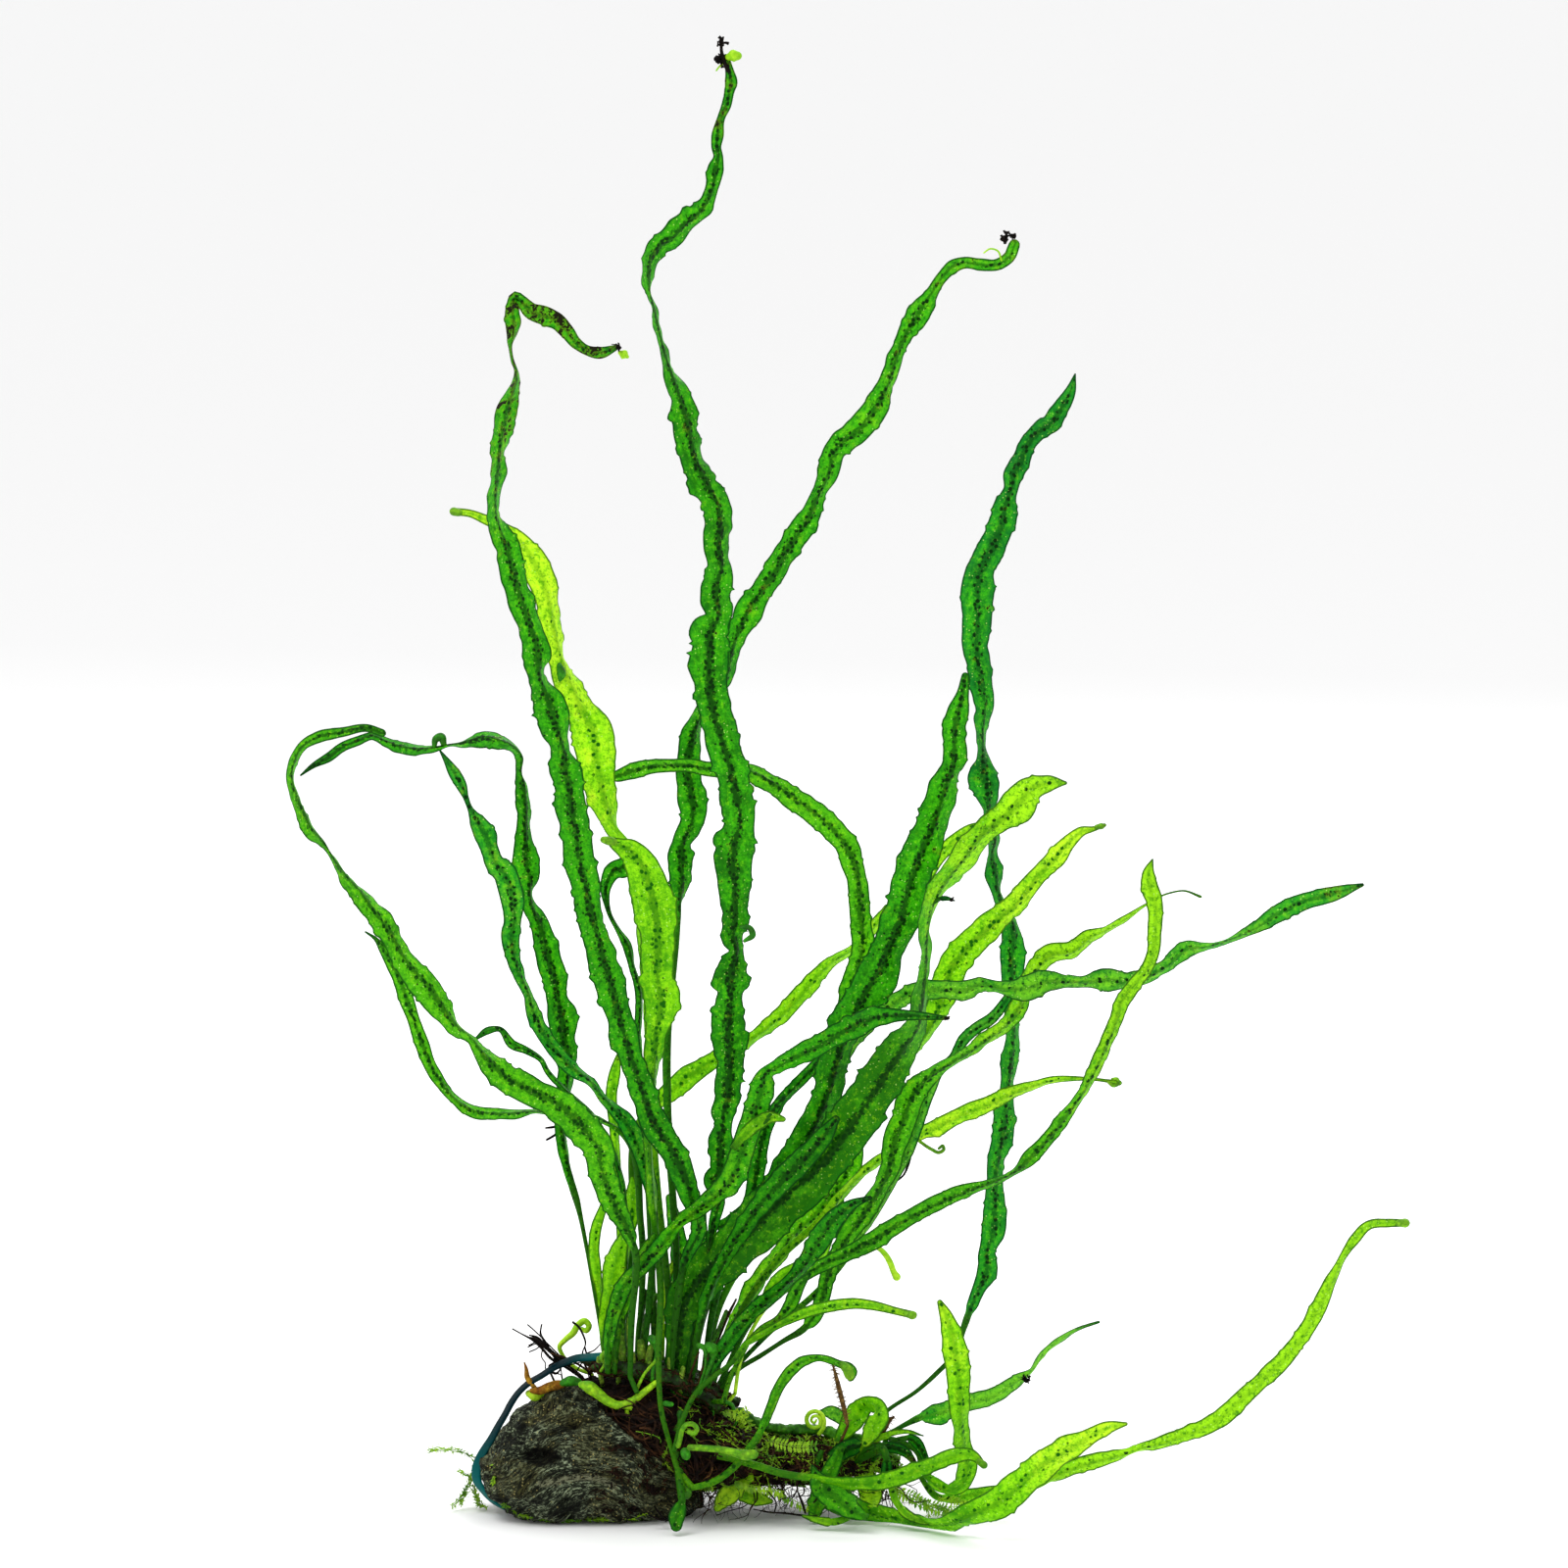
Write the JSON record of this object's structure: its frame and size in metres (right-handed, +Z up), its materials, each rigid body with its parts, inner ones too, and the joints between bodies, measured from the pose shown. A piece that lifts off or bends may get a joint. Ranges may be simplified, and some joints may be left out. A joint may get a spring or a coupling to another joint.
{
  "type": "needle leaf java fern on stone",
  "caption": "Java fern with long narrow wavy leaves standing and arching from creeping rhizomes, held by a rubber tie to a dark flat-based stone with matted roots.",
  "frame": {"origin": "middle of the stone's flat base, on the surface that it rests on", "axes": "+Z up along the leaves, +X to the right of the front view, +Y away from the viewer"},
  "size_m": [0.173, 0.0639, 0.2263],
  "materials": {
    "stone": "matte",
    "tie_rubber": "gloss",
    "roots": "matte",
    "moss": "matte",
    "rhizome": "satin",
    "young_frond": "satin",
    "young_leaf": "satin",
    "green_leaf": "satin",
    "old_leaf": "satin",
    "teal_leaf": "satin"
  },
  "bodies": {
    "root": {"crozier_pale_left": "young_frond", "crozier_stone": "young_frond", "frond_finger_front": "young_frond", "frond_finger_right": "young_frond", "leaf_arched_centre": "green_leaf", "leaf_arched_low": "green_leaf", "leaf_bluegreen_low": "teal_leaf", "leaf_bright_back": "young_leaf", "leaf_bright_front": "young_leaf", "leaf_broad_centre": "old_leaf", "leaf_broad_on_ground": "young_leaf", "leaf_broad_yellow_tip": "green_leaf", "leaf_dark_inner": "teal_leaf", "leaf_drooping_bright": "young_leaf", "leaf_far_left_low": "green_leaf", "leaf_far_right": "teal_leaf", "leaf_folded_centre": "old_leaf", "leaf_folded_over": "young_leaf", "leaf_hanging_front": "green_leaf", "leaf_left_bridge": "old_leaf", "leaf_left_inner": "old_leaf", "leaf_left_loop": "green_leaf", "leaf_left_small": "old_leaf", "leaf_long_stalked_right": "green_leaf", "leaf_long_yellow_back": "young_leaf", "leaf_low_far_right": "green_leaf", "leaf_narrow_dark": "old_leaf", "leaf_pale_low": "young_leaf", "leaf_round_tipped": "young_leaf", "leaf_short_centre": "old_leaf", "leaf_slender_right": "teal_leaf", "leaf_small_inner": "green_leaf", "leaf_spotted_inner": "green_leaf", "leaf_spotted_right": "green_leaf", "leaf_tall_centre": "old_leaf", "leaf_tall_left": "old_leaf", "leaf_tall_right": "old_leaf", "leaf_teal_right": "teal_leaf", "leaf_teal_small": "teal_leaf", "leaf_thin_between": "old_leaf", "leaf_upright_low_right": "young_leaf", "leaf_yellow_diagonal": "young_leaf", "leaf_yellow_inner": "young_leaf", "leaf_yellow_low_right": "young_leaf", "leaf_young_back": "young_leaf", "leaf_young_front": "young_leaf", "leaf_young_left": "young_leaf", "leaf_young_middle": "young_leaf", "moss_left": "moss", "moss_right": "moss", "rhizome_back": "rhizome", "rhizome_front": "rhizome", "rhizome_main": "rhizome", "rhizome_near": "rhizome", "rhizome_right": "rhizome", "rhizome_shoot": "rhizome", "root_mat": "roots", "root_tuft_left": "roots", "stone": "stone", "tie_band": "tie_rubber"}
  },
  "joints": []
}
